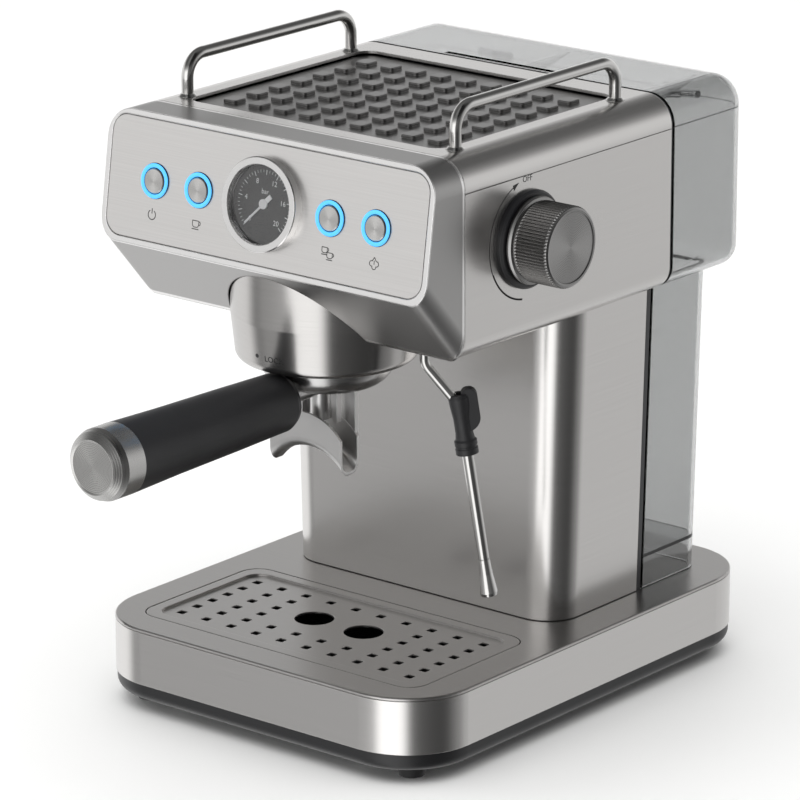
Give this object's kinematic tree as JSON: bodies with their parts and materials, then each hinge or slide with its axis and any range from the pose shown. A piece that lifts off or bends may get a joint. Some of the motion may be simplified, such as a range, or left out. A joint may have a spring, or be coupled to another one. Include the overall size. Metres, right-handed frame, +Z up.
{
  "type": "pump espresso machine",
  "caption": "Steel pump espresso machine with portafilter, swivelling steam wand, pressure gauge, lit push buttons, cup tray with rails, drip tray and lidded rear water tank.",
  "frame": {"origin": "on the worktop, midway between the four feet", "axes": "+X to the machine's right, +Y to its back, +Z up"},
  "size_m": [0.252, 0.4182, 0.349],
  "materials": {
    "brushed_steel": "brushed",
    "polished_steel": "polished",
    "black_plastic": "fine grain",
    "satin_plated": "satin plated casting",
    "dark_frame": "satin",
    "cast_aluminium": "cast",
    "spun_aluminium": "spun",
    "brass": "machined",
    "rubber": "matt",
    "clear_smoked": "clear moulded plastic, smoked grey",
    "gauge_glass": "clear",
    "dial_black": "matt",
    "needle_white": "satin",
    "lit_blue": "lit ring",
    "white_plastic": "smooth",
    "silicone": "smooth",
    "circuit_board": "board",
    "zinc_screw": "plated"
  },
  "bodies": {
    "frame": {"base_band": "brushed_steel", "base_plate": "brushed_steel", "base_skirt": "black_plastic", "boiler": "cast_aluminium", "button_rings": "lit_blue", "column_back": "dark_frame", "column_shell": "brushed_steel", "control_board": "circuit_board", "cord_gland": "black_plastic", "cup_tray": "brushed_steel", "feet": "rubber", "front_bezel": "satin_plated", "front_panel": "brushed_steel", "gauge_case": "polished_steel", "gauge_dial": "dial_black", "gauge_glass": "gauge_glass", "group_gasket": "rubber", "group_head": "brass", "group_shroud": "brushed_steel", "head_shell": "brushed_steel", "knob_ring": "black_plastic", "pressure_tube": "white_plastic", "pump": "cast_aluminium", "pump_mounts": "rubber", "rail_left": "polished_steel", "rail_right": "polished_steel", "rear_frame": "dark_frame", "screws": "zinc_screw", "shower_screen": "polished_steel", "steam_tube": "polished_steel", "steam_valve": "brass", "supply_hose": "silicone", "switch_board": "circuit_board", "tank_seat": "black_plastic", "top_cover": "brushed_steel", "tray_well": "black_plastic", "wand_socket": "brass"},
    "tray": {"drip_tray": "black_plastic"},
    "grille": {"drip_grille": "brushed_steel"},
    "portafilter": {"portafilter_bowl": "polished_steel", "filter_basket": "polished_steel", "spout": "satin_plated", "handle_stud": "zinc_screw", "handle_grip": "black_plastic", "handle_cap": "spun_aluminium"},
    "power_button": {"button_power": "spun_aluminium"},
    "cup_button": {"button_cup": "spun_aluminium"},
    "two_cups_button": {"button_two_cups": "spun_aluminium"},
    "steam_button": {"button_steam": "spun_aluminium"},
    "needle": {"gauge_needle": "needle_white"},
    "knob": {"steam_knob": "spun_aluminium", "valve_spindle": "zinc_screw"},
    "wand": {"wand_pipe": "polished_steel", "wand_grip": "black_plastic", "wand_tube": "polished_steel", "wand_nozzle": "polished_steel"},
    "tank": {"water_tank": "clear_smoked", "tank_valve": "black_plastic", "lid_pins": "zinc_screw"},
    "lid": {"tank_lid": "clear_smoked"}
  },
  "joints": [
    {"name": "portafilter_turn", "type": "hinge", "parent": "frame", "child": "portafilter", "pos_m": [0, -0.0824, 0.2], "axis": [0, 0, 1], "range_deg": [-45, 0]},
    {"name": "tray_lift", "type": "slide", "parent": "frame", "child": "tray", "axis": [0, 0, 1], "range_m": [0, 0.03]},
    {"name": "grille_lift", "type": "slide", "parent": "tray", "child": "grille", "axis": [0, 0, 1], "range_m": [0, 0.024]},
    {"name": "needle_swing", "type": "hinge", "parent": "frame", "child": "needle", "pos_m": [0, -0.13179, 0.28983], "axis": [0, 0.9894, -0.145], "range_deg": [0, 270], "stiffness_Nm_per_rad": 0.002},
    {"name": "knob_turn", "type": "hinge", "parent": "frame", "child": "knob", "pos_m": [0.12, -0.0536, 0.2738], "axis": [1, 0, 0], "range_deg": [0, 170]},
    {"name": "wand_swivel", "type": "hinge", "parent": "frame", "child": "wand", "pos_m": [0.0786, -0.0994, 0.228], "axis": [0, 0, 1], "range_deg": [-90, 10]},
    {"name": "tank_lift", "type": "slide", "parent": "frame", "child": "tank", "axis": [0, 0, 1], "range_m": [0, 0.18]},
    {"name": "lid_hinge", "type": "hinge", "parent": "tank", "child": "lid", "pos_m": [0, 0.14, 0.3075], "axis": [-1, 0, 0], "range_deg": [0, 95]},
    {"name": "power_press", "type": "slide", "parent": "frame", "child": "power_button", "axis": [0, 0.9894, -0.145], "range_m": [0, 0.0015], "stiffness_N_per_m": 1200},
    {"name": "cup_press", "type": "slide", "parent": "frame", "child": "cup_button", "axis": [0, 0.9894, -0.145], "range_m": [0, 0.0015], "stiffness_N_per_m": 1200},
    {"name": "two_cups_press", "type": "slide", "parent": "frame", "child": "two_cups_button", "axis": [0, 0.9894, -0.145], "range_m": [0, 0.0015], "stiffness_N_per_m": 1200},
    {"name": "steam_press", "type": "slide", "parent": "frame", "child": "steam_button", "axis": [0, 0.9894, -0.145], "range_m": [0, 0.0015], "stiffness_N_per_m": 1200}
  ]
}
